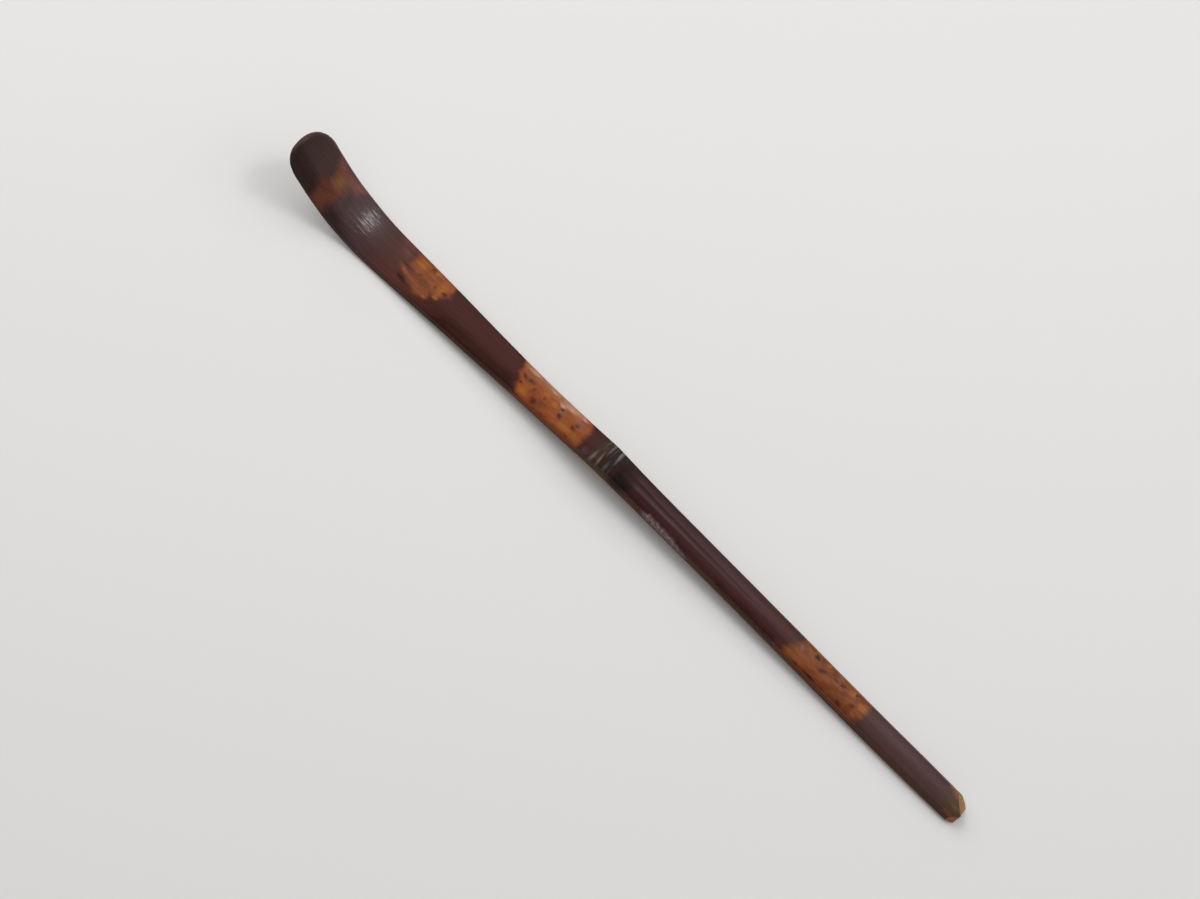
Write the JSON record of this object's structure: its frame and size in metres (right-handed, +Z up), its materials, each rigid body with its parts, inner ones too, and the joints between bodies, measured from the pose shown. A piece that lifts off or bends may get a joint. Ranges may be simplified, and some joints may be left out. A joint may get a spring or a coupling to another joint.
{
  "type": "chashaku tea scoop",
  "caption": "Slim bamboo scoop for powdered tea: bent-up spatula tip, node ridge at mid length, shallow groove and faceted foot.",
  "frame": {"origin": "centre of the bounding box at the table, with the scoop lying on its back", "axes": "+X from the foot to the tip, +Y across the scoop to its left seen from the foot, +Z up, out of the skin side"},
  "size_m": [0.1798, 0.0108, 0.0149],
  "materials": {
    "culm_flesh": "knife-carved bamboo, stained dark brown along its sides, bare tan at the foot's facets",
    "culm_skin": "glossy outer skin of spotted bamboo, dark purple-brown with orange patches and dark flecks",
    "node_tissue": "rough sheath scars and ridges, dark with grey and pale brown lines",
    "cross_wall": "cut cross wall of the culm, paler and finer than the flesh"
  },
  "bodies": {
    "root": {"culm_flesh": "culm_flesh", "handle_skin": "culm_skin", "bowl_skin": "culm_skin", "node_ridge": "node_tissue", "node_cross_wall": "cross_wall"}
  },
  "joints": []
}
